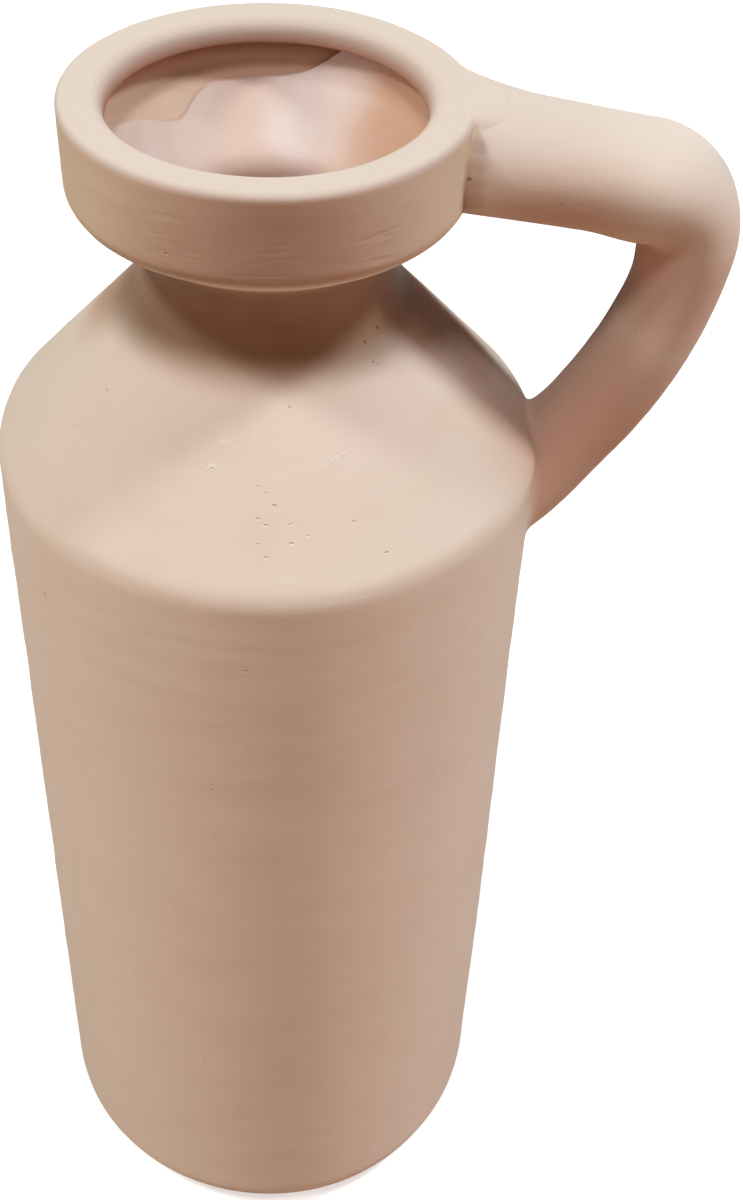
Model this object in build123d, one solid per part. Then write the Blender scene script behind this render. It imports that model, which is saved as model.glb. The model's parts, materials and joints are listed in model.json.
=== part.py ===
from build123d import *
import os
from math import asin, atan2, cos, degrees, pi, radians, sin, tan

# Body, in millimetres. The vessel stands on the origin and its handle points along +X.
overall_height = 322.0
body_radius = 59.0
wall_thickness = 6.0
floor_thickness = 8.0
base_round = 12.0
floor_round = 13.0

# Shoulder and neck. Depths are measured down from the rim.
shoulder_depth = 79.0
shoulder_round = 5.0
inner_shoulder_round = 3.0
cone_top_depth = 39.6
throat_radius = 25.0
throat_wall = 5.5
# How much of the throat's straight run each rounding at its ends takes up
sweep_share = 0.79
under_share = 0.18
inner_sweep_share = 0.66

# Mouth cup
cup_radius = 40.0
cup_wall = 6.0
band_height = 19.2
band_lower_round = 2.2
under_slope_degrees = 32.6
funnel_slope_degrees = 45.0
funnel_top_depth = 12.0
funnel_round = 6.0

# Lip ring
lip_width = 9.2
lip_lean = 0.9
lip_depth = 5.0
lip_outer_round = 1.8
lip_inner_round = 1.2
lip_edge_round = 0.8
undercut_round = 1.2

# Stepped ring joints, filled with slip
slip_thickness = 0.6
tongue_height = 3.0
base_joint_height = 23.0
shoulder_joint_drop = 36.0
neck_joint_share = 0.635
cup_joint_drop = 13.0
lip_joint_depth = 9.0

# Glaze inside, poured up to a wavy edge
glaze_thickness = 0.8
glaze_edge_depth = 14.0
bay_depth = 2.4
bay_radius = 12.0
bay_count = 7
bay_turn_degrees = 24.0

# Handle: a straight arm, a tight elbow and a long bowed strut, hollow and oval in section
arm_root_depth = 11.1
arm_drop_degrees = 9.9
reach_past_body = 27.6
elbow_radius = 13.5
elbow_turn_degrees = 88.2
strut_bow_radius = 105.0
foot_bury = 10.7
handle_wall = 5.0
root_thickness = 23.6
root_width = 30.2
arm_thickness = 22.7
arm_width = 28.0
elbow_thickness = 18.5
elbow_width = 22.5
strut_thickness = 19.5
strut_width = 22.4
foot_thickness = 24.1
foot_width = 25.6
station_shares = [0, 0.29, 0.41, 0.78, 0.96]
section_count = 25
slip_bead = 0.7
vent_radius = 0.7
vent_clearance = 4.0

# One overrun for every cut that has to pass a face
overrun = 5.0

# Sizes that follow from those above
inner_radius = body_radius - wall_thickness
bowl_radius = cup_radius - cup_wall
throat_bore = throat_radius - throat_wall
lip_bore_radius = cup_radius - lip_width
shoulder_height = overall_height - shoulder_depth
band_foot = overall_height - band_height
shoulder_slope_degrees = degrees(atan2(shoulder_depth - cone_top_depth, body_radius - throat_radius))
cone_wall_height = wall_thickness / cos(radians(shoulder_slope_degrees))
cone_wall_width = wall_thickness / sin(radians(shoulder_slope_degrees))


def rise(run, slope_degrees):
    """Height gained over a horizontal run at a slope."""
    return run * tan(radians(slope_degrees))


def cone_height(radius):
    """Height of the shoulder's outer cone at a radius."""
    return shoulder_height + rise(body_radius - radius, shoulder_slope_degrees)


def rounding_in(run, share, slope_degrees):
    """Radius of the rounding from a slope to an upright run that takes up a share of the run."""
    turn = radians(90 - slope_degrees)
    return run * share / tan(turn / 2)


def outer_corners():
    """Corners of the outside from foot to rim, each with its rounding."""
    cone_top = cone_height(throat_radius)
    throat_top = band_foot - rise(cup_radius - throat_radius, under_slope_degrees)
    throat_run = throat_top - cone_top
    return [
        ((body_radius, 0), base_round),
        ((body_radius, shoulder_height), shoulder_round),
        ((throat_radius, cone_top), rounding_in(throat_run, sweep_share, shoulder_slope_degrees)),
        ((throat_radius, throat_top), rounding_in(throat_run, under_share, under_slope_degrees)),
        ((cup_radius, band_foot), band_lower_round),
        ((cup_radius, overall_height), lip_outer_round),
    ]


def cavity_corners():
    """Corners of the inside from the floor to under the lip, each with its rounding."""
    funnel_top = overall_height - funnel_top_depth
    funnel_foot = funnel_top - rise(bowl_radius - throat_bore, funnel_slope_degrees)
    cone_top = cone_height(throat_bore) - cone_wall_height
    inner_sweep = rounding_in(funnel_foot - cone_top, inner_sweep_share, shoulder_slope_degrees)
    return [
        ((inner_radius, floor_thickness), floor_round),
        ((inner_radius, cone_height(inner_radius) - cone_wall_height), inner_shoulder_round),
        ((throat_bore, cone_top), inner_sweep),
        ((throat_bore, funnel_foot), funnel_round),
        ((bowl_radius, funnel_top), funnel_round),
        ((bowl_radius, overall_height - lip_depth), undercut_round),
    ]


def lip_corners():
    """Corners of the lip's inner edge, from its underside to the flat top."""
    return [
        ((lip_bore_radius, overall_height - lip_depth), lip_edge_round),
        ((lip_bore_radius + lip_lean, overall_height), lip_inner_round),
    ]


def filled(corners):
    """The face inside a closed outline of rounded corners."""
    places = [place for place, rounding in corners]
    roundings = [rounding for place, rounding in corners]
    return make_face(FilletPolyline(*places, radius=roundings, close=True).edges())


def filled_both_sides(corners):
    """The face between a profile and its mirror image across the axis."""
    other_side = [((-x, y), rounding) for (x, y), rounding in reversed(corners)]
    return filled(corners + other_side)


def right_half(face):
    """The side of a face that lies at positive radius."""
    width = body_radius + overrun
    height = overall_height + 2 * overrun
    return face & Pos(width / 2, overall_height / 2) * Rectangle(width, height)


def spun(face):
    """A half section turned once round the vessel's axis."""
    return revolve(Plane.XZ * face, Axis.Z)


def clay_section():
    """The vessel's wall in half section, without the handle."""
    inside = list(reversed(cavity_corners() + lip_corners()))
    axis_ends = [((0, floor_thickness), 0), ((0, 0), 0)]
    return filled(outer_corners() + inside + axis_ends)


def joint_band(height, radius):
    """The section of the slip in a stepped joint, whose tongue stands inside the radius."""
    tongue_top = height + tongue_height
    outside = body_radius + overrun
    return make_face(Polyline(
        (outside, height),
        (radius, height),
        (radius, tongue_top),
        (0, tongue_top),
        (0, tongue_top + slip_thickness),
        (radius + slip_thickness, tongue_top + slip_thickness),
        (radius + slip_thickness, height + slip_thickness),
        (outside, height + slip_thickness),
        close=True,
    ).edges())


def joint_bands():
    """The slip sections of the five ring joints, by the slip's name."""
    wall_middle = body_radius - wall_thickness / 2
    neck_joint_height = shoulder_height + neck_joint_share * (shoulder_depth - cone_top_depth)
    cone_step = neck_joint_height + tongue_height / 2
    cone_radius = body_radius - (cone_step - shoulder_height) / tan(radians(shoulder_slope_degrees))
    places = {
        "base_joint_slip": (base_joint_height, wall_middle),
        "shoulder_joint_slip": (shoulder_height - shoulder_joint_drop, wall_middle),
        "neck_joint_slip": (neck_joint_height, cone_radius - cone_wall_width / 2),
        "cup_joint_slip": (band_foot - cup_joint_drop, throat_radius - throat_wall / 2),
        "lip_joint_slip": (overall_height - lip_joint_depth, cup_radius - cup_wall / 2),
    }
    return {name: joint_band(height, radius) for name, (height, radius) in places.items()}


def turned_pieces():
    """The six turned clay pieces and the slip rings between them."""
    section = clay_section()
    bands = joint_bands()
    pieces = {name: spun(section & band) for name, band in bands.items()}
    for band in bands.values():
        section = section - band
    names = ["base", "body_wall", "shoulder", "neck", "mouth_cup", "lip_ring"]
    for name, face in zip(names, section.faces().sort_by(Axis.Y)):
        pieces[name] = spun(face)
    return pieces


def inner_glaze():
    """The glaze coat: the cavity less its own inset, up to an edge with shallow bays."""
    cavity = filled_both_sides(cavity_corners())
    coat = right_half(cavity - offset(cavity, -glaze_thickness))
    edge_height = overall_height - glaze_edge_depth
    width = body_radius + overrun
    coat = coat - Pos(width / 2, edge_height + width / 2) * Rectangle(width + overrun, width)
    glaze = spun(coat)
    bay_centre = edge_height - bay_depth + bay_radius
    for number in range(bay_count):
        turn = bay_turn_degrees + number * 360 / bay_count
        bay = Rot(0, 0, turn) * Pos(width / 2, 0, bay_centre) * Rot(0, 90, 0) * Cylinder(bay_radius, width)
        glaze = glaze - bay
    return glaze


def handle_path():
    """The handle's centre line from inside the cup's wall to inside the body's wall."""
    root_radius = cup_radius - cup_wall / 2
    root_height = overall_height - arm_root_depth
    elbow_start = body_radius + reach_past_body - elbow_radius * (1 - sin(radians(arm_drop_degrees)))
    arm_fall = rise(elbow_start - root_radius, arm_drop_degrees)
    arm = Line((root_radius, root_height), (elbow_start, root_height - arm_fall))
    elbow = JernArc(arm @ 1, arm % 1, elbow_radius, -elbow_turn_degrees)
    heading = arm_drop_degrees + elbow_turn_degrees
    bow_centre = (elbow @ 1).X - strut_bow_radius * sin(radians(heading))
    foot_radius = body_radius - foot_bury
    strut_turn = 180 - heading - degrees(asin((foot_radius - bow_centre) / strut_bow_radius))
    strut = JernArc(elbow @ 1, elbow % 1, strut_bow_radius, -strut_turn)
    return Plane.XZ * Wire([arm.edge(), elbow.edge(), strut.edge()])


def between_stations(share, sizes):
    """A size that eases from each station along the handle to the next."""
    for start, end, first, last in zip(station_shares, station_shares[1:], sizes, sizes[1:]):
        if share <= end:
            ease = (1 - cos(pi * (share - start) / (end - start))) / 2
            return first + (last - first) * ease
    return sizes[-1]


def handle_form(growth):
    """The handle's form, filled, and grown outwards by a length, or inwards where it is negative."""
    path = handle_path()
    widths = [root_width, arm_width, elbow_width, strut_width, foot_width]
    thicknesses = [root_thickness, arm_thickness, elbow_thickness, strut_thickness, foot_thickness]
    sections = []
    for number in range(section_count):
        share = number / (section_count - 1)
        width = between_stations(share, widths) + 2 * growth
        thickness = between_stations(share, thicknesses) + 2 * growth
        across = Plane(path @ share, x_dir=(0, 1, 0), z_dir=path % share)
        sections.append(across * Ellipse(width / 2, thickness / 2))
    return loft(sections)


def handle_pieces():
    """The hollow handle and the slip under its two ends."""
    outer = filled_both_sides(outer_corners())
    vessel = spun(right_half(outer))
    grown_vessel = spun(right_half(offset(outer, slip_thickness)))
    hollow = handle_form(-handle_wall)
    vent_place = (cup_radius + vent_clearance, -root_width / 2, overall_height - arm_root_depth)
    vent = Pos(*vent_place) * Rot(90, 0, 0) * Cylinder(vent_radius, root_width - handle_wall)
    handle = handle_form(0) - grown_vessel - hollow - vent
    above_rim = Pos(0, 0, overall_height + overrun) * Cylinder(body_radius, 2 * overrun)
    slip = (handle_form(slip_bead) & grown_vessel) - vessel - hollow - above_rim
    ends = slip.solids().sort_by(Axis.Z)
    return {"handle": handle, "handle_upper_slip": ends[-1], "handle_lower_slip": ends[0]}


def build_pieces():
    """Every piece of the vessel, by name."""
    pieces = turned_pieces()
    pieces["inner_glaze"] = inner_glaze()
    pieces.update(handle_pieces())
    return pieces


os.makedirs("parts", exist_ok=True)
for name, piece in build_pieces().items():
    export_step(piece, f"parts/{name}.step")
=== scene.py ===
import json
from math import atan2, ceil, copysign, cos, degrees, hypot, pi, radians, sin

import bmesh
import bpy
from mathutils import Matrix, Vector

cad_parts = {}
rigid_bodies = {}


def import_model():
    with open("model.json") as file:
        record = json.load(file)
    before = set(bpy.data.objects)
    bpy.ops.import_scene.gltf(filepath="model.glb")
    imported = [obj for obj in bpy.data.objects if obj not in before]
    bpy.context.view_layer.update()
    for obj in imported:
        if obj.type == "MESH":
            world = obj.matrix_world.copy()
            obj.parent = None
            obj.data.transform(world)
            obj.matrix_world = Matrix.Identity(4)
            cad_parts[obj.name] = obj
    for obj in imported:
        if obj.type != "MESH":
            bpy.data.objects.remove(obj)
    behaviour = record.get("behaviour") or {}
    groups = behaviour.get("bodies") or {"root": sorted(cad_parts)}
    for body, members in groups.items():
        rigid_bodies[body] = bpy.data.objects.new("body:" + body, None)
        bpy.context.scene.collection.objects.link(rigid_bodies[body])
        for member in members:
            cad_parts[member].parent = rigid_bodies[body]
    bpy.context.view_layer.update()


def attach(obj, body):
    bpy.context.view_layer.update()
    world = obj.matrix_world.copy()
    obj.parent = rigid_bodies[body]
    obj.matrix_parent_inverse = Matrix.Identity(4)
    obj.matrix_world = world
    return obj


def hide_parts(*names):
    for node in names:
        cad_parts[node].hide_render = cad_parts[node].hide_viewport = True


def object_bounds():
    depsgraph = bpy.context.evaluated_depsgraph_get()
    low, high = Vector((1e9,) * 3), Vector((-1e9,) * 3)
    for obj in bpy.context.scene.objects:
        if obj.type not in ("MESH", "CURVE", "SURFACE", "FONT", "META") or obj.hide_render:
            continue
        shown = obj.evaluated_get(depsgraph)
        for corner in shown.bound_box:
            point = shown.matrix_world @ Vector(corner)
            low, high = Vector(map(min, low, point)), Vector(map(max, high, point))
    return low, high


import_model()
for spare in [thing for thing in bpy.data.objects if thing.name in ("Cube", "Light", "Camera")]:
    bpy.data.objects.remove(spare)
print("frame loaded")

mm = 0.001          # every measure below is in millimetres unless it says otherwise
turns = 192         # faces round every turned piece, so that neighbours meet point for point
tiny = 0.02 * mm    # points nearer than this are one point
wellOutside = 100   # farther from the upright axis than any wall
craterEdge = 0.28   # the sloping edge of a crater, as a share of its size


# small tools that every piece uses

def pick(piece, kind, wanted):
    # selects in edit mode what a test in code wants
    bpy.ops.mesh.select_mode(type=kind)
    bpy.ops.mesh.select_all(action="DESELECT")
    shape = bmesh.from_edit_mesh(piece.data)
    items = {"VERT": shape.verts, "EDGE": shape.edges, "FACE": shape.faces}[kind]
    for item in items:
        if wanted(item):
            item.select_set(True)
    shape.select_flush_mode()
    bmesh.update_edit_mesh(piece.data)


def edit():
    bpy.ops.object.mode_set(mode="EDIT")
    bpy.ops.mesh.select_mode(type="VERT")
    bpy.ops.mesh.select_all(action="SELECT")


def done():
    bpy.ops.object.mode_set(mode="OBJECT")


def only(piece):
    bpy.ops.object.select_all(action="DESELECT")
    piece.select_set(True)
    bpy.context.view_layer.objects.active = piece


def named(name):
    piece = bpy.context.object
    piece.name = piece.data.name = name
    return piece


def applied(piece, kind, **settings):
    only(piece)
    modifier = piece.modifiers.new(kind, kind)
    for setting, value in settings.items():
        setattr(modifier, setting, value)
    bpy.ops.object.modifier_apply(modifier=modifier.name)


def closedSkin():
    # merges what lies together and turns every face outwards, in edit mode
    bpy.ops.mesh.select_all(action="SELECT")
    bpy.ops.mesh.remove_doubles(threshold=tiny / 2)
    bpy.ops.mesh.normals_make_consistent(inside=False)


# turned pieces: a section is drawn corner by corner, softened and spun

# faces of a softened corner, and the shape of its curve
rounding = {"least": 4, "most": 16, "perMillimetre": 1.6, "profile": 0.5}


def drawSection(name, corners, closed):
    bpy.ops.object.select_all(action="DESELECT")
    bpy.ops.mesh.primitive_plane_add(size=mm)
    piece = named(name)
    edit()
    bpy.ops.mesh.merge(type="CENTER")
    bpy.ops.transform.translate(value=(corners[0][0] * mm, 0, corners[0][1] * mm))
    for here, there in zip(corners, corners[1:]):
        step = ((there[0] - here[0]) * mm, 0, (there[1] - here[1]) * mm)
        bpy.ops.mesh.extrude_region_move(TRANSFORM_OT_translate={"value": step})
    if closed:
        ends = [Vector((r * mm, 0, z * mm)) for r, z, soft in (corners[0], corners[-1])]
        pick(piece, "VERT", lambda v: min((v.co - end).length for end in ends) < tiny)
        bpy.ops.mesh.edge_face_add()
    return piece


def soften(piece, corners):
    # each soft corner gives up the same length of both its edges to a rounding
    for r, z, soft in corners:
        if soft:
            place = Vector((r * mm, 0, z * mm))
            pick(piece, "VERT", lambda v: (v.co - place).length < tiny)
            count = max(rounding["least"], min(rounding["most"], round(soft * rounding["perMillimetre"])))
            bpy.ops.mesh.bevel(offset=soft * mm, segments=count, profile=rounding["profile"],
                               affect="VERTICES")


def divide(piece, faceHeight):
    # cuts every edge of the section into lengths of about one face
    def middleOf(edge):
        return (edge.verts[0].co + edge.verts[1].co) / 2

    shape = bmesh.from_edit_mesh(piece.data)
    planned = [(middleOf(edge), ceil(edge.calc_length() / (faceHeight * mm)) - 1) for edge in shape.edges]
    for middle, cuts in planned:
        if cuts > 0:
            pick(piece, "EDGE", lambda edge: (middleOf(edge) - middle).length < tiny)
            bpy.ops.mesh.subdivide(number_cuts=cuts)


def turned(name, corners, faceHeight, closed=True):
    piece = drawSection(name, corners, closed)
    soften(piece, corners)
    divide(piece, faceHeight)
    bpy.ops.mesh.select_all(action="SELECT")
    bpy.ops.mesh.spin(steps=turns, angle=2 * pi, center=(0, 0, 0), axis=(0, 0, 1))
    closedSkin()
    done()
    return piece


# unevenness of hand work: slow waves, and flatter ones that run round the vessel

unevenness = {
    "slow waves": {"size": 46, "squash": 1.0, "depth": 0.55},
    "turning marks": {"size": 30, "squash": 0.16, "depth": 0.16},
    "pressed spots": {"size": 9, "squash": 0.6, "depth": 0.10},
}
# the cup sits a little higher at the front and lower at the back, from one height up to another
tilt = {"from": 293, "full": 303, "front": 1.3, "back": 0.75}


def handWork(piece):
    for name, wave in unevenness.items():
        clouds = bpy.data.textures.get(name) or bpy.data.textures.new(name, "CLOUDS")
        clouds.cloud_type = "COLOR"
        clouds.noise_scale = wave["size"] * mm
        clouds.noise_depth = 1
        gauge = bpy.data.objects.new(name, None)
        gauge.scale = (1, 1, wave["squash"])
        bpy.context.scene.collection.objects.link(gauge)
        bpy.context.view_layer.update()
        applied(piece, "DISPLACE", texture=clouds, texture_coords="OBJECT", texture_coords_object=gauge,
                direction="RGB_TO_XYZ", mid_level=0.5, strength=wave["depth"] * mm)
        bpy.data.objects.remove(gauge)
    for point in piece.data.vertices:
        share = min(1, max(0, (point.co.z / mm - tilt["from"]) / (tilt["full"] - tilt["from"])))
        rise = tilt["back"] if point.co.y > 0 else tilt["front"]
        point.co.z -= share * point.co.y / v["cupRadius"] * rise


def smooth(piece, angle):
    # shades smooth across edges up to this many degrees
    only(piece)
    bpy.ops.object.shade_smooth_by_angle(angle=radians(angle))


def onWall(piece, azimuth, height):
    # the place where a level line from well outside meets the piece
    way = Vector((cos(radians(azimuth)), sin(radians(azimuth)), 0))
    return piece.ray_cast((way * wellOutside + Vector((0, 0, height))) * mm, -way)[1] / mm


def prick(piece, holes):
    # small craters: the face at the place is inset, and inset again with depth
    only(piece)
    edit()
    for place, size, depth in holes:
        shape = bmesh.from_edit_mesh(piece.data)
        away = {face.index: (face.calc_center_median() / mm - place).length for face in shape.faces}
        closest = min(away, key=away.get)
        pick(piece, "FACE", lambda face: face.index == closest)
        chosen = next(face for face in bmesh.from_edit_mesh(piece.data).faces if face.select)
        side = min(edge.calc_length() for edge in chosen.edges)
        bpy.ops.mesh.inset(thickness=max(side - size * mm, 0) / 2)
        bpy.ops.mesh.inset(thickness=size * mm * craterEdge, depth=-depth * mm)
    done()


# the vessel's measures, shared by its turned pieces

vessel = {
    "top": 322, "bodyRadius": 59, "wall": 6, "floor": 8, "baseSoft": 12, "floorSoft": 13,
    "shoulderHeight": 243, "shoulderSoft": 2.6, "coneTop": 282.4, "throatRadius": 25, "throatWall": 5.5,
    "sweepSoft": 7.2, "underHeight": 293.2, "underSoft": 1.9, "bandFoot": 302.8, "bandFootSoft": 2.2,
    "cupRadius": 40, "cupWall": 6, "funnelTop": 310, "funnelFoot": 295.5, "funnelSoft": 2.4,
    "lipFoot": 317, "lipBore": 30.8, "lipLean": 0.9, "lipSoft": 1.3, "lipInnerSoft": 2.4, "lipEdgeSoft": 0.5,
    "innerShoulderSoft": 1.1, "innerConeSoft": 10.2, "funnelFootSoft": 2.0, "smoothTo": 38,
    "tongue": 3, "slip": 0.6, "slipFace": 1.0,
    "baseJoint": 23, "shoulderJoint": 207, "neckJoint": 268.02, "cupJoint": 289.8, "lipJoint": 313,
}
v = vessel
rise = (v["coneTop"] - v["shoulderHeight"]) / (v["bodyRadius"] - v["throatRadius"])
slope = atan2(rise, 1)
innerRadius = v["bodyRadius"] - v["wall"]
bore = v["throatRadius"] - v["throatWall"]
bowl = v["cupRadius"] - v["cupWall"]
# the height of the inside of the shoulder's edge
innerCorner = v["shoulderHeight"] + v["wall"] * rise - v["wall"] / cos(slope)
innerConeTop = innerCorner + (innerRadius - bore) * rise


def coneRadius(height):
    return v["bodyRadius"] - (height - v["shoulderHeight"]) / rise


def innerConeRadius(height):
    return innerRadius - (height - innerCorner) / rise


# (height, outside radius, radius of the step, inside radius) of each stepped joint
bodyStep = v["bodyRadius"] - v["wall"] / 2
coneStep = coneRadius(v["neckJoint"] + v["tongue"] / 2) - v["wall"] / sin(slope) / 2
throatStep = v["throatRadius"] - v["throatWall"] / 2
cupStep = v["cupRadius"] - v["cupWall"] / 2
joints = {
    "base": (v["baseJoint"], lambda z: v["bodyRadius"], bodyStep, lambda z: innerRadius),
    "shoulder": (v["shoulderJoint"], lambda z: v["bodyRadius"], bodyStep, lambda z: innerRadius),
    "neck": (v["neckJoint"], coneRadius, coneStep, innerConeRadius),
    "cup": (v["cupJoint"], lambda z: v["throatRadius"], throatStep, lambda z: bore),
    "lip": (v["lipJoint"], lambda z: v["cupRadius"], cupStep, lambda z: bowl),
}


def under(name):
    # the top of the lower piece, from outside to inside: its tongue stands on the inner side
    height, outside, middle, inside = joints[name]
    high = height + v["tongue"]
    return [(outside(height), height, 0), (middle, height, 0), (middle, high, 0), (inside(high), high, 0)]


def over(name):
    # the foot of the upper piece, from inside to outside, one layer of slip higher
    height, outside, middle, inside = joints[name]
    low, high, middle = height + v["slip"], height + v["tongue"] + v["slip"], middle + v["slip"]
    return [(inside(high), high, 0), (middle, high, 0), (middle, low, 0), (outside(low), low, 0)]


def corner(*measures):
    # (radius, height, softness), each a number or the name of one of the vessel's measures
    radius, height, soft = (v[value] if isinstance(value, str) else value for value in (*measures, 0)[:3])
    return radius, height, soft


turnedPieces = {
    "base": {
        "face": 3.0, "closed": False,
        "corners": [corner(0, 0), corner("bodyRadius", 0, "baseSoft")] + under("base")
        + [corner(innerRadius, "floor", "floorSoft"), corner(0, "floor")],
        "holes": [(-75.0, 14.0, 0.6, 0.2), (120.0, 16.0, 0.6, 0.2)],
    },
    "bodyWall": {
        "face": 2.0,
        "corners": over("base") + under("shoulder"),
        "holes": [(-94.0, 201.2, 0.6, 0.2), (-101.9, 186.5, 0.7, 0.25), (-82.0, 157.9, 0.6, 0.2),
                  (-90.5, 198.0, 0.5, 0.18), (-103.0, 170.0, 0.5, 0.18), (-60.0, 120.0, 0.6, 0.2),
                  (-120.0, 96.0, 0.5, 0.2), (40.0, 150.0, 0.6, 0.2), (140.0, 110.0, 0.6, 0.2)],
    },
    "shoulder": {
        "face": 1.3,
        "corners": over("shoulder") + [corner("bodyRadius", "shoulderHeight", "shoulderSoft")] + under("neck")
        + [corner(innerRadius, innerCorner, "innerShoulderSoft")],
        "holes": [(-88.5, 257.7, 0.7, 0.28), (-93.6, 256.0, 0.55, 0.22), (-90.8, 254.7, 0.55, 0.2),
                  (-85.4, 252.1, 0.6, 0.22), (-86.0, 254.8, 0.5, 0.16), (-91.4, 259.6, 0.45, 0.16),
                  (-91.9, 260.7, 0.45, 0.16), (-82.3, 253.2, 0.45, 0.14), (-93.2, 252.2, 0.45, 0.14),
                  (-91.2, 249.9, 0.5, 0.16), (-71.2, 254.5, 0.55, 0.18), (-65.4, 248.0, 0.6, 0.24),
                  (-105.1, 263.1, 0.6, 0.2), (-94.0, 225.2, 0.6, 0.22), (60.0, 255.0, 0.6, 0.2),
                  (150.0, 251.0, 0.6, 0.2), (-150.0, 259.0, 0.6, 0.2)],
    },
    "neck": {
        "face": 1.2,
        "corners": over("neck") + [corner("throatRadius", "coneTop", "sweepSoft")] + under("cup")
        + [corner(bore, innerConeTop, "innerConeSoft")],
        "holes": [(-83.8, 272.1, 0.6, 0.25), (-38.6, 280.3, 0.6, 0.25), (-47.4, 278.8, 0.6, 0.25),
                  (-47.2, 275.4, 0.5, 0.2)],
    },
    "mouthCup": {
        "face": 1.0,
        "corners": over("cup") + [corner("throatRadius", "underHeight", "underSoft"),
                                  corner("cupRadius", "bandFoot", "bandFootSoft")] + under("lip")
        + [corner(bowl, "funnelTop", "funnelSoft"), corner(bore, "funnelFoot", "funnelFootSoft")],
        "holes": [(-118.0, 308.5, 0.5, 0.15)],
    },
    "lipRing": {
        "face": 1.0,
        "corners": over("lip") + [corner("cupRadius", "top", "lipSoft"),
                                  corner(v["lipBore"] + v["lipLean"], "top", "lipInnerSoft"),
                                  corner("lipBore", "lipFoot", "lipEdgeSoft"), corner(bowl, "lipFoot")],
        "holes": [],
    },
}
cadNames = {"base": "base", "bodyWall": "body_wall", "shoulder": "shoulder", "neck": "neck",
            "mouthCup": "mouth_cup", "lipRing": "lip_ring"}

clayPieces = {}
for name, plan in turnedPieces.items():
    piece = turned(name + "Clay", plan["corners"], plan["face"], plan.get("closed", True))
    handWork(piece)
    prick(piece, [(onWall(piece, azimuth, height), size, depth)
                  for azimuth, height, size, depth in plan["holes"]])
    smooth(piece, v["smoothTo"])
    clayPieces[cadNames[name]] = piece
    print("turned", name, len(piece.data.polygons))

slipPieces = {}
for name in joints:
    piece = turned(name + "JointSlip", under(name) + over(name), v["slipFace"])
    handWork(piece)
    smooth(piece, v["smoothTo"])
    slipPieces[name + "_joint_slip"] = piece
print("slip rings turned")


# the glaze inside, cut off along a wandering edge

glaze = {
    "thickness": 0.8, "face": 1.4, "coatTop": 316.9, "smoothTo": 42,
    "edgeSoft": 0.25, "edgeFaces": 2, "softenFrom": 50,    # corners over this many degrees are softened
    # how far below the rim the glaze ends, going round from the handle
    "edgeDepths": [(0, 4.0), (40, 4.0), (62, 5.5), (72, 11.5), (79.8, 13.3), (84.7, 13.4), (90.6, 13.5),
                   (95.5, 13.7), (102.2, 14.1), (109.5, 13.6), (115.4, 14.3), (121.3, 15.5), (126.6, 17.6),
                   (130.8, 18.2), (140.5, 16.6), (149.1, 14.9), (165.6, 13.0), (185, 13.8), (215, 15.6),
                   (240, 14.2), (270, 15.0), (300, 13.6), (330, 8.5), (360, 4.0)],
    "edgePoints": 240, "edgeShifts": (-5, -2.5, 0, 2.5, 5),
    # the ring that cuts the edge: how far it starts outside the bowl, how far it shrinks, and its height
    "cutterBeyond": 4, "cutterShrink": 0.4, "cutterHeight": 25,
}


def between(table, place):
    # eases from one entry of a table to the next
    for (here, low), (there, high) in zip(table, table[1:]):
        if place <= there:
            ease = (1 - cos(pi * max(0, place - here) / (there - here))) / 2
            return low + (high - low) * ease
    return table[-1][1]


def edgeDepth(azimuth):
    # straight between the entries, then softened by its neighbours
    depths = glaze["edgeDepths"]
    total = 0
    for shift in glaze["edgeShifts"]:
        place = (azimuth + shift) % 360
        low, high = next(pair for pair in zip(depths, depths[1:]) if place <= pair[1][0])
        total += low[1] + (high[1] - low[1]) * (place - low[0]) / (high[0] - low[0])
    return total / len(glaze["edgeShifts"])


g = glaze["thickness"]
leaning = g / cos(slope)
steep = g / cos(pi / 4)
funnelShift = v["funnelTop"] - bowl
coat = turned("glazeCoat", [
    corner(0, "floor"), corner(innerRadius, "floor", "floorSoft"),
    corner(innerRadius, innerCorner, "innerShoulderSoft"), corner(bore, innerConeTop, "innerConeSoft"),
    corner(bore, "funnelFoot", "funnelSoft"), corner(bowl, "funnelTop", "funnelSoft"),
    corner(bowl, glaze["coatTop"]), corner(bowl - g, glaze["coatTop"]),
    corner(bowl - g, bowl - g + funnelShift + steep, "funnelSoft"),
    corner(bore - g, bore - g + funnelShift + steep, "funnelSoft"),
    corner(bore - g, innerConeTop + g * rise - leaning, "innerConeSoft"),
    corner(innerRadius - g, innerCorner + g * rise - leaning, "innerShoulderSoft"),
    corner(innerRadius - g, v["floor"] + g, v["floorSoft"] - g), corner(0, v["floor"] + g),
], glaze["face"], closed=False)

# the cutter: a ring of points is set to the edge's heights, then drawn inwards and upwards
bpy.ops.object.select_all(action="DESELECT")
bpy.ops.mesh.primitive_circle_add(vertices=glaze["edgePoints"], radius=(bowl + glaze["cutterBeyond"]) * mm)
cutter = named("edgeCutter")
edit()
for number in range(glaze["edgePoints"]):
    pick(cutter, "VERT", lambda point: point.index == number)
    point = next(point for point in bmesh.from_edit_mesh(cutter.data).verts if point.select)
    azimuth = degrees(atan2(point.co.y, point.co.x)) % 360
    bpy.ops.transform.translate(value=(0, 0, (v["top"] - edgeDepth(azimuth)) * mm))
bpy.ops.mesh.select_all(action="SELECT")
bpy.ops.mesh.extrude_edges_move()
bpy.ops.transform.resize(value=(glaze["cutterShrink"], glaze["cutterShrink"], 1), center_override=(0, 0, 0))
bpy.ops.mesh.select_all(action="SELECT")
bpy.ops.mesh.extrude_region_move(TRANSFORM_OT_translate={"value": (0, 0, glaze["cutterHeight"] * mm)})
closedSkin()
done()
handWork(coat)
applied(coat, "BOOLEAN", operation="DIFFERENCE", object=cutter, solver="EXACT")
bpy.data.objects.remove(cutter)
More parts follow.
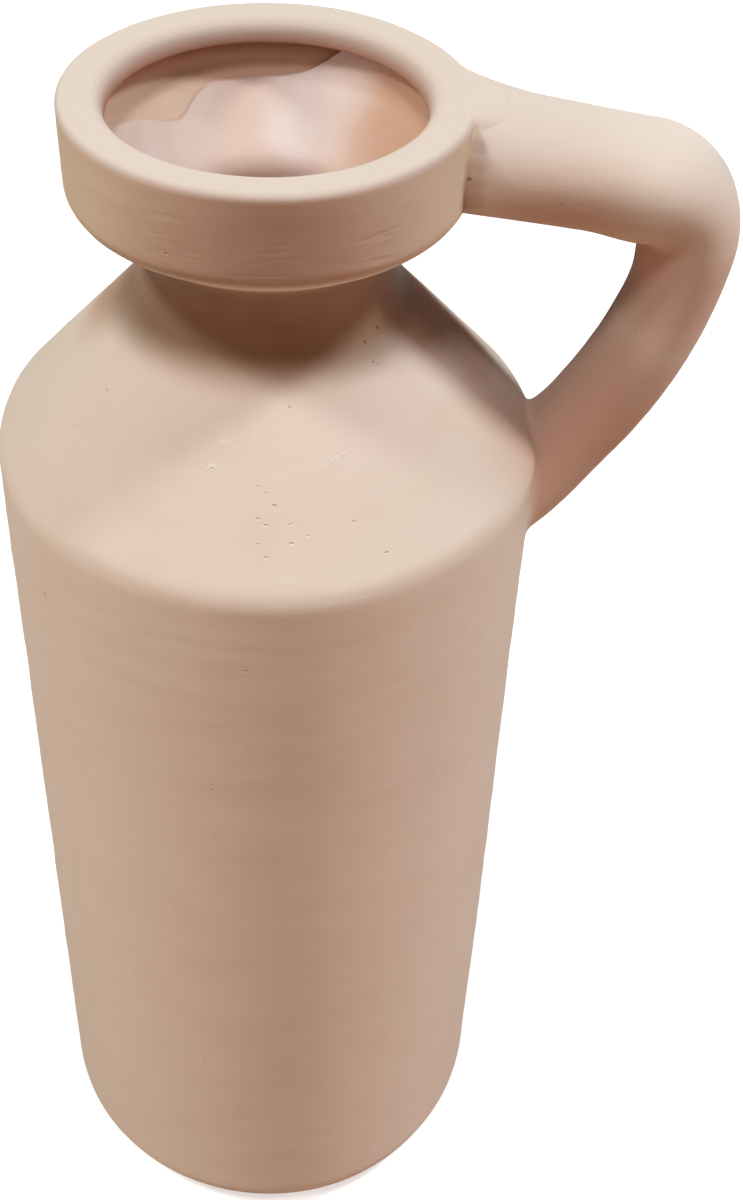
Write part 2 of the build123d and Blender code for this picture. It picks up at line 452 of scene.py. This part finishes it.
applied(coat, "BEVEL", width=glaze["edgeSoft"] * mm, segments=glaze["edgeFaces"], limit_method="ANGLE",
        angle_limit=radians(glaze["softenFrom"]))
smooth(coat, glaze["smoothTo"])
print("glaze poured", len(coat.data.polygons))


# the handle: rings along an arm, an elbow and a bowed strut, slid back onto the vessel at both ends

handle = {
    "rootRadius": 37, "rootHeight": 310.9, "armDrop": 9.9, "reach": 86.6,
    "elbowRadius": 13.5, "elbowTurn": 88.2, "bowRadius": 105, "strutTurn": 43.1,
    # shares of the length, and the width and thickness there
    "stations": (0, 0.29, 0.41, 0.78, 0.96), "widths": (30.2, 28.0, 22.5, 22.4, 25.6),
    "thicknesses": (23.6, 22.7, 18.5, 19.5, 24.1),
    "rings": 116, "ringPoints": 72, "capShares": (0.04, 0.35, 0.68), "buried": 6, "smoothTo": 50,
    "levelled": 0.08,   # how far under the rim's top the arm's root is cut level
    # how far from its two ends the search for each seam starts, the step it goes by, and the seat's foot
    "seamFrom": (20, 36), "seamStep": 1.0, "seatFoot": 100, "seatFace": 3.0,
    # how flat the arm's upper side is, along its length: 2 is an ellipse
    "flatFront": [(-10, 2.35), (6, 2.3), (24, 2.1), (39, 2.0), (200, 2.0)],
    "flatBack": [(-10, 2.5), (4, 2.4), (14, 2.0), (200, 2.0)],
    # how much the elbow's inner corner is filled at its two ends, how far it runs on, and its radius
    "web": (1.4, 1.7), "webReach": 13, "webSoft": 0.7,
    # small craters: place, size and depth
    "pits": [((38.3, -15.3, 310.8), 0.9, 0.45), ((56.7, -14.4, 306.3), 0.6, 0.2),
             ((71.9, -9.7, 258.5), 0.6, 0.2)],
}
h = handle
drop = radians(h["armDrop"])
elbowStart = h["reach"] - h["elbowRadius"] * (1 - sin(drop))
armLength = (elbowStart - h["rootRadius"]) / cos(drop)
elbowLength = h["elbowRadius"] * radians(h["elbowTurn"])
elbowEnd = armLength + elbowLength
pathLength = elbowEnd + h["bowRadius"] * radians(h["strutTurn"])
web = [(armLength - h["webReach"], 0), (armLength, h["web"][0]), (elbowEnd, h["web"][1]),
       (elbowEnd + h["webReach"], 0)]


def turnedAway(place, heading, radius, length):
    # goes clockwise round an arc, seen from the front
    centre = place + Vector((sin(heading), 0, -cos(heading))) * radius
    heading -= length / radius
    return centre - Vector((sin(heading), 0, -cos(heading))) * radius, heading


def onPath(length):
    # the place on the handle's centre line, in millimetres, and its heading
    place, heading = Vector((h["rootRadius"], 0, h["rootHeight"])), -drop
    arm = min(length, armLength)
    place = place + Vector((cos(heading), 0, sin(heading))) * arm
    if length > armLength:
        place, heading = turnedAway(place, heading, h["elbowRadius"], min(length - armLength, elbowLength))
    if length > elbowEnd:
        place, heading = turnedAway(place, heading, h["bowRadius"], length - elbowEnd)
    return place, heading


def halves(length):
    # half the width and half the thickness
    share = max(length, 0) / pathLength
    return (between(list(zip(h["stations"], h["widths"])), share) / 2,
            between(list(zip(h["stations"], h["thicknesses"])), share) / 2)


def outOf(length, angle):
    # from the centre line to the handle's skin, with the angle counted from the back over the top
    heading = onPath(length)[1]
    halfWidth, halfThickness = halves(length)
    upward = Vector((-sin(heading), 0, cos(heading)))
    side = h["flatFront"] if cos(angle) < 0 else h["flatBack"]
    power = 2 / between(side, length) if sin(angle) > 0 else 1
    across = copysign(abs(cos(angle)) ** power, cos(angle))
    along = halfThickness * copysign(abs(sin(angle)) ** power, sin(angle))
    if sin(angle) < 0:
        along = max(along - between(web, length) * sin(angle) ** 2, h["webSoft"] - h["elbowRadius"])
    return Vector((0, halfWidth * across, 0)) + upward * along


def skin(length, angle, share=1.0):
    place = onPath(length)[0] + outOf(length, angle) * share
    place.z = min(place.z, v["top"] - h["levelled"])
    return place


def addRing(length, share=1.0):
    # extrudes the selected ring and sets the copy upright at its place
    global ringNow
    place, heading = onPath(length)
    halfWidth, halfThickness = (half * share for half in halves(length))
    if ringNow is None:
        bpy.ops.object.select_all(action="DESELECT")
        bpy.ops.mesh.primitive_circle_add(vertices=h["ringPoints"], radius=mm)
        edit()
        bpy.ops.transform.rotate(value=pi / 2, orient_axis="Y", center_override=(0, 0, 0))
        ringNow = (Vector((0, 0, 0)), 0.0, 1.0, 1.0)
    else:
        bpy.ops.mesh.extrude_edges_move()
    was, wasHeading, wasWidth, wasThickness = ringNow
    bpy.ops.transform.translate(value=(place - was) * mm)
    grow = halfThickness / wasThickness
    if heading != wasHeading:
        bpy.ops.transform.rotate(value=heading - wasHeading, orient_axis="Y", center_override=place * mm)
    bpy.ops.transform.resize(value=(grow, halfWidth / wasWidth, grow), center_override=place * mm)
    ringNow = (place, heading, halfWidth, halfThickness)


# the vessel's whole outside as one skin, to seat the handle on
outside = turned("seatOutside", [
    corner(0, h["seatFoot"]), corner("bodyRadius", h["seatFoot"]),
    corner("bodyRadius", "shoulderHeight", "shoulderSoft"), corner("throatRadius", "coneTop", "sweepSoft"),
    corner("throatRadius", "underHeight", "underSoft"), corner("cupRadius", "bandFoot", "bandFootSoft"),
    corner("cupRadius", "top", "lipSoft"), corner(0, "top"),
], h["seatFace"], closed=False)

# where to start looking for each seam, and which way
ends = {"root": (h["seamFrom"][0], -1), "foot": (pathLength - h["seamFrom"][1], 1)}


def seam(end, angle, share=1.0):
    # the length along the handle at which one line of its skin meets the vessel, and the place
    length, way = ends[end]
    step = way * h["seamStep"]
    while True:
        here, there = skin(length, angle, share), skin(length + step, angle, share)
        gap = (there - here).length
        hit, place, normal, index = outside.ray_cast(here * mm, there - here, distance=gap * mm)
        if hit:
            return length + step * (place / mm - here).length / gap, place / mm
        length += step


ringNow = None
first, last = -h["buried"], pathLength
lengths = [first + (last - first) * number / h["rings"] for number in range(h["rings"] + 1)]
plan = [(first, share) for share in h["capShares"]] + [(length, 1.0) for length in lengths]
plan += [(last, share) for share in reversed(h["capShares"])]
for length, share in plan:
    addRing(length, share)
handlePiece = named("handleClay")
done()

rings = [(length, *onPath(length)) for length in lengths]
sameRing, farthest = 0.02, 20    # how near a ring's plane its points lie, and how far from its middle at most
seamEase = 0.05                  # a point this near before a seam is set on it too
for point in handlePiece.data.vertices:
    # every point is set on the handle's skin, and one beyond a seam slides back along its line to it
    found = point.co / mm
    for length, place, heading in rings:
        away = found - place
        if abs(away.dot(Vector((cos(heading), 0, sin(heading))))) < sameRing and away.length < farthest:
            break
    halfWidth, halfThickness = halves(length)
    across, along = away.y / halfWidth, away.dot(Vector((-sin(heading), 0, cos(heading)))) / halfThickness
    angle, share = atan2(along, across), hypot(along, across)
    point.co = skin(length, angle, share) * mm
    for end, (reach, way) in ends.items():
        if (length - reach) * way > 0:
            limit, place = seam(end, angle, share)
            if (length - limit) * way > -seamEase:
                point.co = place * mm
only(handlePiece)
edit()
pick(handlePiece, "EDGE", lambda e: e.is_boundary)
bpy.ops.mesh.merge(type="COLLAPSE")
closedSkin()
done()
print("handle drawn", len(handlePiece.data.polygons))

# the slip at each seat is a ring whose hollow slope runs from the vessel's skin onto the handle's
slips = {
    # spread over the vessel and reach along the handle, each by the turn from the back over the top
    "root": {"spread": [(0, 7.5), (90, 5.0), (115, 3.0), (140, 0.7), (180, 0.35), (270, 1.3), (360, 7.5)],
             "reach": [(0, 8.0), (90, 7.0), (115, 4.5), (140, 0.9), (180, 0.4), (270, 1.5), (360, 8.0)],
             "onto": 3.4, "ontoFrom": (319.0, 321.6), "ontoReach": 5.5},
    "foot": {"spread": [(0, 2.0), (90, 1.5), (180, 4.0), (270, 1.8), (360, 2.0)],
             "reach": [(0, 2.4), (90, 1.8), (180, 3.0), (270, 2.2), (360, 2.4)],
             "onto": 0.0, "ontoFrom": (400, 401), "ontoReach": 0.0},
}
# faces down the slope, the ring it starts from, how far its two edges stand off the skins (in millimetres
# and as a share), and where its third edge hides in the handle
fillet = {"steps": 10, "ring": 20, "offVessel": 0.03, "offHandle": 1.003, "hiddenShare": 0.12,
          "hiddenDepth": 0.8}


def seatSlip(name, end):
    sizes = slips[end]
    bpy.ops.object.select_all(action="DESELECT")
    around, across = h["ringPoints"] * 2, fillet["steps"] + 2
    bpy.ops.mesh.primitive_torus_add(major_segments=around, minor_segments=across,
                                     major_radius=fillet["ring"] * mm, minor_radius=mm)
    piece = named(name)
    points = piece.data.vertices
    for number in range(around):
        angle = 2 * pi * number / around
        length, crease = seam(end, angle)
        outward = outOf(length, angle).normalized()
        spread, reach = (between(sizes[key], degrees(angle)) for key in ("spread", "reach"))
        wish = crease + outward * spread
        # near the rim's top the slip runs on over the rim
        start, full = sizes["ontoFrom"]
        onto = min(1, max(0, (crease.z - start) / (full - start)))
        onto *= onto * (3 - 2 * onto)
        wish -= Vector((crease.x, crease.y, 0)).normalized() * sizes["onto"] * onto
        wish.z += (v["top"] + 1 - wish.z) * onto
        hit, low, normal, index = outside.closest_point_on_mesh(wish * mm)
        low = low / mm + normal * fillet["offVessel"]
        reach = max(reach, sizes["ontoReach"] * onto)
        high = skin(length - ends[end][1] * reach, angle, fillet["offHandle"])
        bend = crease + Vector((0, 0, (v["top"] - crease.z) * onto))
        centre, heading = onPath(length)
        into = Vector((cos(heading), 0, sin(heading))) * ends[end][1]
        places = []
        for step in range(fillet["steps"] + 1):
            t = step / fillet["steps"]
            places.append(low * (1 - t) ** 2 + bend * 2 * t * (1 - t) + high * t ** 2)
        places.append(crease + (centre - crease) * fillet["hiddenShare"] + into * fillet["hiddenDepth"])
        for step, place in enumerate(places):
            points[number * across + step].co = place * mm
    only(piece)
    edit()
    closedSkin()
    done()
    return piece


upperSlip = seatSlip("upperHandleSlip", "root")
lowerSlip = seatSlip("lowerHandleSlip", "foot")
bpy.data.objects.remove(outside)
prick(handlePiece, [(Vector(place), size, depth) for place, size, depth in h["pits"]])
for piece in (handlePiece, upperSlip, lowerSlip):
    handWork(piece)
    smooth(piece, h["smoothTo"])
print("handle seated")


# finishes

class Wire:
    # one output of a node, with the sums that Python can write on it
    def __init__(self, tree, socket):
        self.tree, self.socket = tree, socket

    def sum(self, operation, first, second):
        node = self.tree.nodes.new("ShaderNodeMath")
        node.operation = operation
        for socket, value in zip(node.inputs, (first, second)):
            if isinstance(value, Wire):
                self.tree.links.new(value.socket, socket)
            else:
                socket.default_value = value
        return Wire(self.tree, node.outputs[0])

    def __add__(self, other):
        return self.sum("ADD", self, other)

    def __sub__(self, other):
        return self.sum("SUBTRACT", self, other)

    def __rsub__(self, other):
        return self.sum("SUBTRACT", other, self)

    def __mul__(self, other):
        return self.sum("MULTIPLY", self, other)

    def __truediv__(self, other):
        return self.sum("DIVIDE", self, other)

    def __pow__(self, other):
        return self.sum("POWER", self, other)

    __radd__ = __add__

    def atLeast(self, other):
        return self.sum("MAXIMUM", self, other)


patchCore = 0.3    # how much of a soft patch's radius is at full strength


class Finish:
    # one material, with the node patterns that the finishes share
    def __init__(self, name):
        self.material = bpy.data.materials.new(name)
        self.material.use_nodes = True
        self.tree = self.material.node_tree
        self.tree.nodes.clear()
        self.output = self.tree.nodes.new("ShaderNodeOutputMaterial")
        self.place = self.node("ShaderNodeTexCoord", output="Object")

    def node(self, kind, settings={}, sockets={}, output=0):
        node = self.tree.nodes.new(kind)
        for setting, value in settings.items():
            setattr(node, setting, value)
        for name, value in sockets.items():
            if isinstance(value, Wire):
                self.tree.links.new(value.socket, node.inputs[name])
            else:
                node.inputs[name].default_value = value
        return Wire(self.tree, node.outputs[output])

    def noise(self, size, detail, roughness, flatter):
        # clouds of one size in millimetres, as round as they come or flatter than they are wide
        place = self.place if flatter == 1 else self.node(
            "ShaderNodeMapping", {}, {"Vector": self.place, "Scale": (1, 1, flatter)})
        return self.node("ShaderNodeTexNoise", {}, {"Vector": place, "Scale": 1 / (size * mm),
                                                    "Detail": detail, "Roughness": roughness})

    def ramp(self, value, low, high):
        return self.node("ShaderNodeMapRange", {"interpolation_type": "SMOOTHSTEP"},
                         {"Value": value, "From Min": low, "From Max": high})

    def spot(self, centre, radius, edge):
        # 1 inside a ball round a place, fading out over its edge
        away = self.node("ShaderNodeVectorMath", {"operation": "DISTANCE"},
                         {0: self.place, 1: [part * mm for part in centre]}, "Value")
        return self.ramp(away, (radius + edge) * mm, radius * mm)

    def patches(self, spots):
        # balls with soft edges, joined
        joined = None
        for centre, radius in spots:
            ball = self.spot(centre, radius * patchCore, radius)
            joined = ball if joined is None else joined.atLeast(ball)
        return joined

    def radiusAndHeight(self):
        # in millimetres, from the vessel's upright axis and from its foot
        parts = self.tree.nodes.new("ShaderNodeSeparateXYZ")
        self.tree.links.new(self.place.socket, parts.inputs[0])
        x, y, z = (Wire(self.tree, parts.outputs[number]) / mm for number in range(3))
        return (x * x + y * y) ** 0.5, z + y * (tilt["front"] + tilt["back"]) / 2 / v["cupRadius"]

    def mix(self, share, first, second):
        return self.node("ShaderNodeMix", {"data_type": "RGBA"},
                         {0: share, 6: self.colour(first), 7: self.colour(second)}, 2)

    def colour(self, value):
        return value if isinstance(value, Wire) else (*value, 1)

    def finish(self, colour, roughness, height, **constants):
        bump = self.node("ShaderNodeBump", {}, {"Height": height, "Distance": 1.0, "Strength": 1.0})
        sockets = {"Base Color": self.colour(colour), "Roughness": roughness, "Normal": bump}
        shader = self.node("ShaderNodeBsdfPrincipled", {}, {**sockets, **constants})
        self.tree.links.new(shader.socket, self.output.inputs["Surface"])
        return self.material


clay = {
    "colour": (0.790, 0.660, 0.570), "pinker": (0.795, 0.650, 0.575), "browner": (0.760, 0.615, 0.510),
    "pale": (0.830, 0.740, 0.660), "speck": (0.50, 0.37, 0.28), "roughness": 0.86,
    # the patterns in the clay: size in millimetres, detail, roughness, and how much flatter than wide
    "patterns": {"broad": (55, 2.0, 0.5, 1), "streaks": (16, 3.0, 0.5, 9), "middle": (14, 3.0, 0.5, 1),
                 "smudges": (9, 2.0, 0.5, 4), "flecks": (2.6, 3.0, 0.6, 1), "specks": (2.4, 1.0, 0.5, 1),
                 "fine": (1.6, 4.0, 0.65, 1), "grain": (0.55, 2.0, 0.5, 1)},
    # between which values of its pattern each mark fades in, and how strongly it tints the clay
    "fades": {"pinker": (0.35, 0.68), "browner": (0.45, 0.75), "pale": (0.55, 0.80), "scuff": (0.54, 0.68),
              "smear": (0.45, 0.75), "speck": (0.80, 0.83)},
    "tints": {"browner": 0.45, "pale": 0.12, "scuff": 0.55, "smear": 0.22, "speck": 0.45, "crease": 0.45},
    # the strength of the painted shade tints, and how much of it the middle pattern takes away
    "shadeStrengths": {"patchShade": (0.85, 0.3), "band": (1.0, 0.2), "bandBrown": (1.0, 0.3), "underCupShade": (0.795, -0.25)},
    # how high each mark stands in millimetres, and how much rougher it makes the clay
    "heights": {"fine": 0.045, "grain": 0.016, "streaks": 0.05, "middle": 0.05, "scuff": 0.08, "smear": -0.10,
                "specks": -0.06},
    "rougher": {"fine": 0.12, "scuff": -0.15, "underCupShade": -0.2, "bowl": -0.4},
    # painted shade: the clay is painted darker and redder under the cup and under the lip, where they shade
    # it
    "underCupShade": (0.30, 0.155, 0.085), "underCup": (271, 280, 303), "underCupEdge": 1.2, "underCupShadeReach": (37, 30),
    "cone": (291, 296), "coneShade": (0.50, 0.28, 0.17),
    "lipShade": (0.36, 0.12, 0.05), "underLipShade": (312.5, 316.5, 321.5), "lipStrength": 0.9,
    "bowl": (0.74, 0.47, 0.35), "bowlReach": (34.6, 34.1), "bowlFoot": (303, 304), "bowlTop": (317.2, 316.8),
    # painted shade: everything above these heights, the rim's top most of all, is painted darker to tone down
    # the strong light from above
    "rimTopShade": (0.715, 0.565, 0.498), "rimFrom": (311, 320.5),
    # painted shade: the band's outside is painted darker where the lamps reach it less, and browner still in
    # a patch at its front
    "band": (0.70, 0.53, 0.405), "bandHeights": (302, 304, 320.2, 321.2), "bandReach": (37.2, 38.6),
    "bandEnd": (41.0, 40.4), "bandPatch": ((0, -40, 305), 9, 29), "bandBrown": (0.52, 0.315, 0.24),
    # painted shade: darker, browner patches on the inner side of the handle and on the upper shoulder, where
    # the handle and the cup shade the clay
    "shadedPatches": [((66, -8, 255), 26), ((58, -6, 243), 20), ((56, -8, 297), 19), ((80, -6, 284), 18),
               ((33, 4, 274), 15), ((44, 3, 262), 15), ((-32, 6, 276), 14)],
    "patchShade": (0.60, 0.345, 0.25),
    # painted shade in the crease where the arm meets the band
    "crease": [((39.0, -12.6, 317.6), 2.4), ((38.6, -14.2, 314.4), 2.9), ((38.3, -15.0, 311.2), 3.1),
               ((38.3, -15.0, 308.0), 3.1), ((38.6, -14.2, 304.8), 3.1), ((39.1, -12.4, 301.8), 2.8)],
    "creaseShade": (0.36, 0.20, 0.14),
    "scuffs": [((-9.6, -38.9, 265.0), 4.0), ((-12.6, -39.6, 263.1), 3.0), ((13.8, -38.0, 264.4), 5.0)],
    "smears": [((-18.0, -35.7, 312.0), 8.0), ((20.0, -34.6, 311.0), 8.0), ((0, -40, 307.0), 8.0)],
}


def clayFinish(name):
    f = Finish(name)
    c, fades, tints, rougher = clay, clay["fades"], clay["tints"], clay["rougher"]
    marks = {key: f.noise(*pattern) for key, pattern in c["patterns"].items()}
    middle, streaks = marks["middle"], marks["streaks"]
    marks["specks"] = specks = f.ramp(marks["specks"], *fades["speck"])
    marks["scuff"] = scuff = f.patches(c["scuffs"]) * f.ramp(marks["flecks"], *fades["scuff"])
    marks["smear"] = smear = f.patches(c["smears"]) * f.ramp(marks["smudges"], *fades["smear"])
    shadeStrength = {key: strength - middle * less for key, (strength, less) in c["shadeStrengths"].items()}
    radius, high = f.radiusAndHeight()

    # where the painted shade lies, on the band, under the cup and under the lip, and where the bowl's own tan
    # lies
    low, foot, head, end = c["bandHeights"]
    band = f.ramp(high, low, foot) * f.ramp(high, end, head) * f.ramp(radius, *c["bandReach"])
    band = band * f.ramp(radius, *c["bandEnd"])
    # painted shade under the cup, on the neck and the top of the shoulder
    foot, full, top = c["underCup"]
    underCupShade = f.ramp(high, foot, full) * f.ramp(high, top + c["underCupEdge"], top - c["underCupEdge"])
    underCupShade = underCupShade * f.ramp(radius, *c["underCupShadeReach"]) * shadeStrength["underCupShade"]
    inside = f.ramp(radius, *c["bowlReach"]) * f.ramp(high, *c["bowlFoot"])
    bowl = inside * f.ramp(high, *c["bowlTop"])
    # painted shade under the lip's overhang
    low, dark, end = c["underLipShade"]
    underLipShade = inside * f.ramp(high, low, dark) * f.ramp(high, end, dark) * c["lipStrength"]

    colour = f.mix(f.ramp(marks["broad"], *fades["pinker"]), c["colour"], c["pinker"])
    for share, tint in (
            (f.ramp(middle, *fades["browner"]) * tints["browner"], "browner"),
            (f.ramp(streaks, *fades["pale"]) * tints["pale"], "pale"),
            (scuff * tints["scuff"], "pale"),
            (smear * tints["smear"], "browner"),
            (specks * tints["speck"], "speck"),
            # painted shade from here on: patches by the handle, the top, the band, the crease, under the cup
            # and under the lip; the bowl's tan is its own colour
            (f.patches(c["shadedPatches"]) * shadeStrength["patchShade"], "patchShade"),
            (f.ramp(high, *c["rimFrom"]), "rimTopShade"),
            (band * shadeStrength["band"], "band"),
            (f.spot(*c["bandPatch"]) * band * shadeStrength["bandBrown"], "bandBrown"),
            (f.patches(c["crease"]) * tints["crease"], "creaseShade"),
            (underCupShade, "underCupShade"),
            (underCupShade * f.ramp(high, *c["cone"]), "coneShade"),
            (bowl, "bowl"),
            (underLipShade, "lipShade")):
        colour = f.mix(share, colour, c[tint])

    roughness = c["roughness"] + (marks["fine"] - 0.5) * rougher["fine"] + scuff * rougher["scuff"]
    roughness = roughness + underCupShade * rougher["underCupShade"] + bowl * rougher["bowl"]
    height = sum(marks[key] * most for key, most in c["heights"].items()) * mm
    return f.finish(colour, roughness, height, **{"Specular IOR Level": 0.35, "Diffuse Roughness": 0.3})


glazeFinish = {
    "colour": (0.760, 0.520, 0.440), "milky": (0.800, 0.625, 0.590), "tan": (0.560, 0.300, 0.175),
    "roughness": 0.55,
    # size in millimetres, detail, roughness, and how much flatter than wide
    "broad": (22, 2.0, 0.5, 1), "cloudy": (7, 3.0, 0.5, 1), "ripple": (4.5, 2.0, 0.5, 0.5),
    # the side where the glaze ran thin and the clay shows tan, and how strongly
    "thin": ((31, 9, 309), 11, 16), "thinStrength": (0.85, 0.3), "pools": (0.42, 0.66),
    "uneven": 0.25, "heights": (0.12, 0.10),
    "shine": {"Specular IOR Level": 0.5, "Coat Weight": 0.12, "Coat Roughness": 0.35},
}


def glazed():
    f = Finish("innerGlaze")
    c = glazeFinish
    broad, cloudy, ripple = (f.noise(*c[key]) for key in ("broad", "cloudy", "ripple"))
    strength, less = c["thinStrength"]
    colour = f.mix(f.ramp(broad, *c["pools"]), c["colour"], c["milky"])
    colour = f.mix(f.spot(*c["thin"]) * (strength - cloudy * less), colour, c["tan"])
    roughness = c["roughness"] + (cloudy - 0.5) * c["uneven"]
    height = (ripple * c["heights"][0] + cloudy * c["heights"][1]) * mm
    return f.finish(colour, roughness, height, **c["shine"])


blushClay = clayFinish("blushClay")
jointSlip = clayFinish("jointSlip")
innerGlaze = glazed()


def dress(piece, material, slot, *nodes):
    piece.data.materials.clear()
    piece.data.materials.append(material)
    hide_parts(*nodes)
    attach(piece, "root")


for node, piece in clayPieces.items():
    dress(piece, blushClay, "blush_clay", node)
for node, piece in slipPieces.items():
    dress(piece, jointSlip, "joint_slip", node)
dress(coat, innerGlaze, "inner_glaze", "inner_glaze")
dress(handlePiece, blushClay, "blush_clay", "handle")
dress(upperSlip, jointSlip, "joint_slip", "handle_upper_slip")
dress(lowerSlip, jointSlip, "joint_slip", "handle_lower_slip")
print("finishes on")


# floor and backdrop: white to the camera, a dimmer warm tone to the light that falls on the vessel

stageSet = {
    "width": 5200, "front": 2600, "back": 1900, "rise": 2400, "cove": 700, "coveFaces": 16, "smoothTo": 30,
    "colour": (0.26, 0.19, 0.13), "glow": 0.58, "lit": 0.80,
    "away": (450, 1300),    # from here to there, away from the object, the floor's glow grows to white
}

bpy.ops.object.select_all(action="DESELECT")
bpy.ops.mesh.primitive_plane_add(size=mm, location=(0, 0, 0))
floor = named("floor")
edit()
bpy.ops.mesh.merge(type="CENTER")
ground = min(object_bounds()[0].z, 0)
bpy.ops.transform.translate(value=(0, -stageSet["front"] * mm, ground))
for step in ((0, stageSet["front"] + stageSet["back"], 0), (0, 0, stageSet["rise"])):
    bpy.ops.mesh.extrude_region_move(TRANSFORM_OT_translate={"value": [part * mm for part in step]})
pick(floor, "VERT", lambda p: abs(p.co.y - stageSet["back"] * mm) < tiny and abs(p.co.z - ground) < tiny)
bpy.ops.mesh.bevel(offset=stageSet["cove"] * mm, segments=stageSet["coveFaces"], profile=rounding["profile"],
                   affect="VERTICES")
bpy.ops.mesh.select_all(action="SELECT")
bpy.ops.mesh.extrude_region_move(TRANSFORM_OT_translate={"value": (stageSet["width"] * mm, 0, 0)})
bpy.ops.mesh.select_all(action="SELECT")
bpy.ops.transform.translate(value=(-stageSet["width"] * mm / 2, 0, 0))
done()
smooth(floor, stageSet["smoothTo"])

f = Finish("paleFloor")
path = f.tree.nodes.new("ShaderNodeLightPath")
seen, mirrored, through = (Wire(f.tree, path.outputs[f"Is {kind} Ray"])
                           for kind in ("Camera", "Glossy", "Transmission"))
seen = seen.atLeast(mirrored).atLeast(through)
dim = f.node("ShaderNodeBsdfDiffuse", {}, {"Color": (*stageSet["colour"], 1)})
bright = f.node("ShaderNodeBsdfDiffuse", {}, {"Color": (stageSet["lit"],) * 3 + (1,)})
# the lamps fall off away from the object, so there the floor glows more and stays as white
away = f.ramp(f.radiusAndHeight()[0], *stageSet["away"])
glowing = f.mix(away, (stageSet["glow"],) * 3, (1, 1, 1))
glow = f.node("ShaderNodeEmission", {}, {"Color": glowing, "Strength": 1.0})
white = f.node("ShaderNodeAddShader", {}, {0: bright, 1: glow})
surface = f.node("ShaderNodeMixShader", {}, {0: seen, 1: dim, 2: white})
f.tree.links.new(surface.socket, f.output.inputs["Surface"])
floor.data.materials.append(f.material)


# lamps and world

studio = {
    "aside": 10,         # the lamps point this far to the handle's side of the upright axis
    "skyLight": 0.02,    # how strongly the world lights the object
}
lamps = {
    # azimuth seen from above, elevation, height aimed at, distance and size in millimetres, watts, colour
    "rightSoftbox": (1, 55, 180, 1700, 250, 15.0, (0.80, 0.99, 1.0)),
    "leftSoftbox": (189, 54, 180, 1700, 250, 12.5, (0.82, 0.94, 0.90)),
    "topSoftbox": (256, 68, 180, 1700, 300, 8.4, (0.98, 0.99, 0.99)),
    "frontFill": (270, 14, 180, 1700, 450, 0.6, (0.98, 0.96, 0.94)),
    "rightLow": (0, 12, 180, 1700, 450, 5.9, (1.0, 0.61, 0.58)),
    "leftMiddle": (180, 35, 180, 1700, 450, 4.3, (1.0, 0.69, 0.42)),
    "frontLow": (270, 2, 90, 620, 500, 1.05, (1.0, 0.52, 0.30)),
}
for name, (azimuth, elevation, aimed, distance, size, watts, colour) in lamps.items():
    lamp = bpy.data.lights.new(name, "AREA")
    lamp.shape, lamp.size, lamp.energy, lamp.color = "DISK", size * mm, watts, colour
    holder = bpy.data.objects.new(name, lamp)
    bpy.context.scene.collection.objects.link(holder)
    a, e = radians(azimuth), radians(elevation)
    way = Vector((cos(e) * cos(a), cos(e) * sin(a), sin(e)))
    holder.location = (Vector((studio["aside"], 0, aimed)) + way * distance) * mm
    holder.rotation_euler = way.to_track_quat("Z", "Y").to_euler()
    holder.visible_camera = False

world = bpy.data.worlds.new("studio")
bpy.context.scene.world = world
world.use_nodes = True
tree = world.node_tree
sky = tree.nodes["Background"].inputs
sky["Color"].default_value = (1, 1, 1, 1)
# the camera sees white behind the stage, and the light on the object stays low
seen = Wire(tree, tree.nodes.new("ShaderNodeLightPath").outputs["Is Camera Ray"])
tree.links.new((seen * (1 - studio["skyLight"]) + studio["skyLight"]).socket, sky["Strength"])
bpy.context.scene.view_settings.view_transform = "Standard"


# camera, at the photograph's place

shot = {
    "place": (0, -308.514, 483.52), "yaw": 0.0794, "pitch": 0.7616, "roll": 0.0504,    # turns in radians
    "lens": 52.943, "sensor": 36, "near": 10,
}
yaw, pitch, roll = shot["yaw"], shot["pitch"], shot["roll"]
level = Vector((cos(yaw), -sin(yaw), 0))
forward = Vector((sin(yaw) * cos(pitch), cos(yaw) * cos(pitch), -sin(pitch)))
upright = level.cross(forward)
right = level * cos(roll) + upright * sin(roll)
upward = upright * cos(roll) - level * sin(roll)
camera = bpy.data.objects.new("camera", bpy.data.cameras.new("camera"))
bpy.context.scene.collection.objects.link(camera)
axes = Matrix((right, upward, -forward)).transposed().to_4x4()
camera.matrix_world = Matrix.Translation(Vector(shot["place"]) * mm) @ axes
camera.data.lens, camera.data.sensor_width = shot["lens"], shot["sensor"]
camera.data.clip_start = shot["near"] * mm
bpy.context.scene.camera = camera
print("stage, lamps and camera set")
